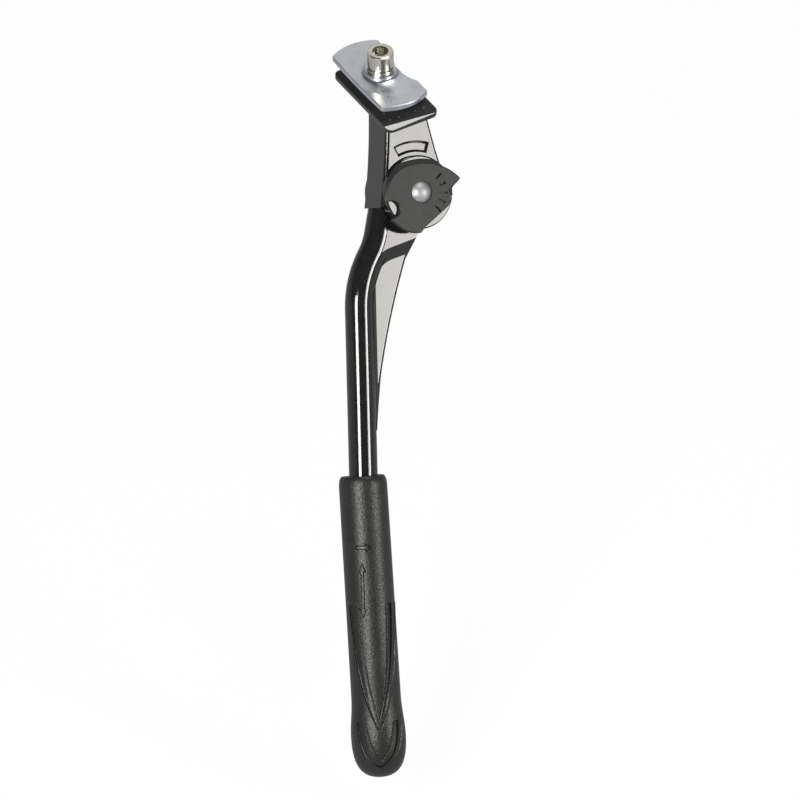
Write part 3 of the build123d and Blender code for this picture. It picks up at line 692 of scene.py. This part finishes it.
def cover_flank(material):
    """The cover's sloping flank, which runs down from its face to the cheek's rim."""
    skin = skin_of("pivot_cover")
    pivot = Vector(joint("leg_fold")["pos_m"])
    rear = Vector((-1, 0, 0))
    up = foot_out.cross(rear)
    corners = frame["nodes"]["pivot_cover"].data.vertices
    heights = [(corner.co - pivot).dot(foot_out) for corner in corners]
    seat = min(heights) - FLANK_SINK
    face = max(heights) - FLANK_DROP
    middle = pivot + foot_out * (seat + face) / 2
    sections = []
    for step in range(FLANK_STEPS + 1):
        angle = math.radians(FLANK_FROM + (FLANK_TO - FLANK_FROM) * step / FLANK_STEPS)
        out = rear * math.cos(angle) + up * math.sin(angle)
        wall = skin.ray_cast(middle + out * 2 * FLANK_REACH, -out)[0]
        edge = (wall - middle).dot(out)
        inner = edge - FLANK_SINK
        outer = max(edge, min(edge + FLANK_WIDE, FLANK_REACH))
        outline = ((inner, seat), (inner, face), (outer, seat))
        sections.append([pivot + out * reach + foot_out * height for reach, height in outline])
    shape = bmesh.new()
    loft(shape, sections)
    bmesh.ops.recalc_face_normals(shape, faces=shape.faces)
    flank = piece("cover_flank", shape)
    flank.data.materials.append(material)
    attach(flank, "head")


def grip_dots(material):
    """Rows of small round dots on the pad's gripping face."""
    shape = bmesh.new()
    for row in range(DOT_ROWS):
        for column in range(DOT_COLUMNS):
            x = (column - (DOT_COLUMNS - 1) / 2) * DOT_PITCH[0]
            y = DOT_ROWS_FROM + row * DOT_PITCH[1]
            if math.hypot(x, y) < DOT_CLEAR:
                continue
            dot = bmesh.ops.create_uvsphere(
                shape, u_segments=DOT_SIDES, v_segments=DOT_RINGS, radius=DOT_RADIUS
            )["verts"]
            bmesh.ops.scale(shape, verts=dot, vec=(1, 1, DOT_HEIGHT / DOT_RADIUS))
            bmesh.ops.translate(shape, verts=dot, vec=(x, y, 0))
    dots = piece("grip_dots", shape)
    dots.data.materials.append(material)
    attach(dots, "head")


def foot_rim():
    """Centre and reach of the foot's top rim."""
    corners = [corner.co for corner in frame["nodes"]["foot"].data.vertices]
    top = min(corner.dot(foot_down) for corner in corners)
    rim = [corner for corner in corners if corner.dot(foot_down) < top + RIM_DEPTH]
    centre = sum(rim, Vector()) / len(rim)
    return centre, max((corner - centre).length for corner in rim)


def lip_line(curve, off):
    """Points along a three-point curve, set off to one side of it."""
    start, pull, end = (Vector(point) for point in curve)
    line = []
    for step in range(LIP_STEPS + 1):
        share = step / LIP_STEPS
        spot = start * (1 - share) ** 2 + pull * 2 * share * (1 - share) + end * share**2
        along = ((pull - start) * (1 - share) + (end - pull) * share).normalized()
        line.append(spot + Vector((along.y, -along.x)) * off)
    return line


def bead(shape, spots, normals):
    """A round bead along points on a skin, half sunk in it."""
    angles = [math.tau * side / LIP_SIDES for side in range(LIP_SIDES)]
    sections = []
    for index, (spot, normal) in enumerate(zip(spots, normals)):
        along = spots[min(index + 1, len(spots) - 1)] - spots[max(index - 1, 0)]
        beside = normal.cross(along).normalized()
        turns = [normal * math.cos(angle) + beside * math.sin(angle) for angle in angles]
        sections.append([spot + turn * LIP_RADIUS for turn in turns])
    loft(shape, sections)


def relief_lips(material):
    """Raised lips along both edges of the vee and cup on both sides of the foot."""
    skin = skin_of("foot")
    centre, reach = foot_rim()
    lean = math.radians(FOOT_LEAN)
    turn = math.radians(RELIEF_TURN)
    down = foot_down * math.cos(lean) + foot_back * math.sin(lean)
    back = foot_back * math.cos(lean) - foot_down * math.sin(lean)
    out = foot_out * math.cos(turn) - back * math.sin(turn)
    across = back * math.cos(turn) + foot_out * math.sin(turn)
    lines = (
        lip_line(VEE_OUTER, LIP_OFF),
        lip_line(VEE_INNER, -LIP_OFF),
        lip_line(CUP_OUTER, LIP_OFF),
        lip_line(CUP_INNER, -LIP_OFF),
    )
    shape = bmesh.new()
    for line in lines:
        for face in (out, -out):
            for side in (across, -across):
                starts = [centre + side * spot.x + down * spot.y + face * 2 * reach for spot in line]
                hits = [skin.ray_cast(start, -face) for start in starts]
                bead(shape, [hit[0] for hit in hits], [hit[1] for hit in hits])
    bmesh.ops.recalc_face_normals(shape, faces=shape.faces)
    lips = piece("relief_lips", shape)
    lips.data.materials.append(material)
    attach(lips, "foot")


def arrow_outline(length, shaft, head, both, grown):
    """Corners of a flat arrow along x, with a head at one end or both, grown all round."""
    end = length / 2 + grown
    point = length / 2 + 2 * grown
    neck = length / 2 - head[0] - grown
    side = shaft / 2 + grown
    wing = head[1] / 2 + 2 * grown
    tip = [(neck, -side), (neck, -wing), (point, 0), (neck, wing), (neck, side)]
    if both:
        return tip + [(-x, -y) for x, y in tip]
    return tip + [(-end, side), (-end, -side)]


def raised_arrow(outline, height, place):
    """A raised arrow from its outline, sliced so that it can follow the foot's skin."""
    shape = bmesh.new()
    shape.faces.new([shape.verts.new((x, y, 0)) for x, y in outline])
    ends = max(x for x, _ in outline)
    slices = int(2 * ends / ARROW_STEP)
    for index in range(1, slices):
        bmesh.ops.bisect_plane(
            shape,
            geom=shape.verts[:] + shape.edges[:] + shape.faces[:],
            plane_co=(-ends + index * ARROW_STEP, 0, 0),
            plane_no=(1, 0, 0),
        )
    top = bmesh.ops.extrude_face_region(shape, geom=shape.faces[:])["geom"]
    raised = [corner for corner in top if isinstance(corner, bmesh.types.BMVert)]
    bmesh.ops.translate(shape, verts=raised, vec=(0, 0, 2 * height))
    bmesh.ops.translate(shape, verts=shape.verts, vec=(0, 0, -height))
    bmesh.ops.recalc_face_normals(shape, faces=shape.faces)
    for corner in shape.verts:
        corner.co = place(corner.co)
    return shape


def foot_arrows(material, shadow_line_material):
    """The moulded arrows on the foot that show how it slides and which way to press."""
    skin = skin_of("foot")
    centre, reach = foot_rim()

    def on_foot(turn, at, along):
        """A rule that lays a flat arrow on the foot, along it or round it."""
        def place(spot):
            run, rise = (spot.x, spot.y) if along else (spot.y, -spot.x)
            angle = math.radians(turn) + rise / reach
            out = foot_out * math.cos(angle) - foot_back * math.sin(angle)
            start = centre + foot_down * (at + run) + out * 2 * reach
            hit = skin.ray_cast(start, -out)[0]
            return hit + out * spot.z
        return place

    long_arrow = (LONG_ARROW_LENGTH, LONG_ARROW_SHAFT, LONG_ARROW_HEAD, True)
    side_arrow = (SIDE_ARROW_LENGTH, SIDE_ARROW_SHAFT, SIDE_ARROW_HEAD, False)
    on_long = on_foot(LONG_ARROW_TURN, LONG_ARROW_AT + LONG_ARROW_LENGTH / 2, True)
    on_side = on_foot(SIDE_ARROW_TURN, SIDE_ARROW_AT, False)
    for name, sizes, place in (
        ("height_arrow", long_arrow, on_long),
        ("press_arrow", side_arrow, on_side),
    ):
        for part, grown, height, finish in (
            (name, 0.0, ARROW_HEIGHT, material),
            # the wider copy is a dark flat outline: painted shadow for a groove round the arrow
            (name + "_line", ARROW_SHADOW_LINE, ARROW_SHADOW_LINE_HEIGHT, shadow_line_material),
        ):
            arrow = piece(part, raised_arrow(arrow_outline(*sizes, grown), height, place))
            arrow.data.materials.append(finish)
            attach(arrow, "foot")


def dress(material, *nodes):
    """Gives CAD nodes their finish."""
    for name in nodes:
        for slot in frame["nodes"][name].material_slots:
            slot.material = material


steel = bright_steel()
cover_plastic = grey_moulding()
foot_plastic = black_moulding()
dress(black_enamel(), "mounting_head", "leg")
dress(zinc_plate(), "clamp_plate")
dress(steel, "lock_washer", "rivet_washer", "clamp_bolt")
dress(cover_plastic, "pivot_cover")
dress(polished_rivet(), "pivot_rivet")
dress(spring_steel(), "pivot_bush", "detent_plunger", "detent_spring", "button_spring")
dress(foot_plastic, "foot")
dress(button_moulding(), "foot_button")

cap_screw(steel)
cover_flank(cover_plastic)
grip_dots(dot_highlight_paint())
relief_lips(foot_plastic)
foot_arrows(foot_plastic, painted_shadow_line())

add_camera()
side_box("right_box", RIGHT_BOX_TURN, RIGHT_BOX_WIDE, RIGHT_BOX_FALL, RIGHT_BOX_RADIANCE)
side_box("right_strip", RIGHT_STRIP_TURN, RIGHT_STRIP_WIDE, RIGHT_BOX_FALL, RIGHT_STRIP_RADIANCE)
side_box("left_box", LEFT_BOX_TURN, LEFT_BOX_WIDE, LEFT_BOX_FALL, LEFT_BOX_RADIANCE)
top_box()
bevel_box()
studio_world()
studio_floor()
bpy.context.scene.view_settings.view_transform = "Standard"
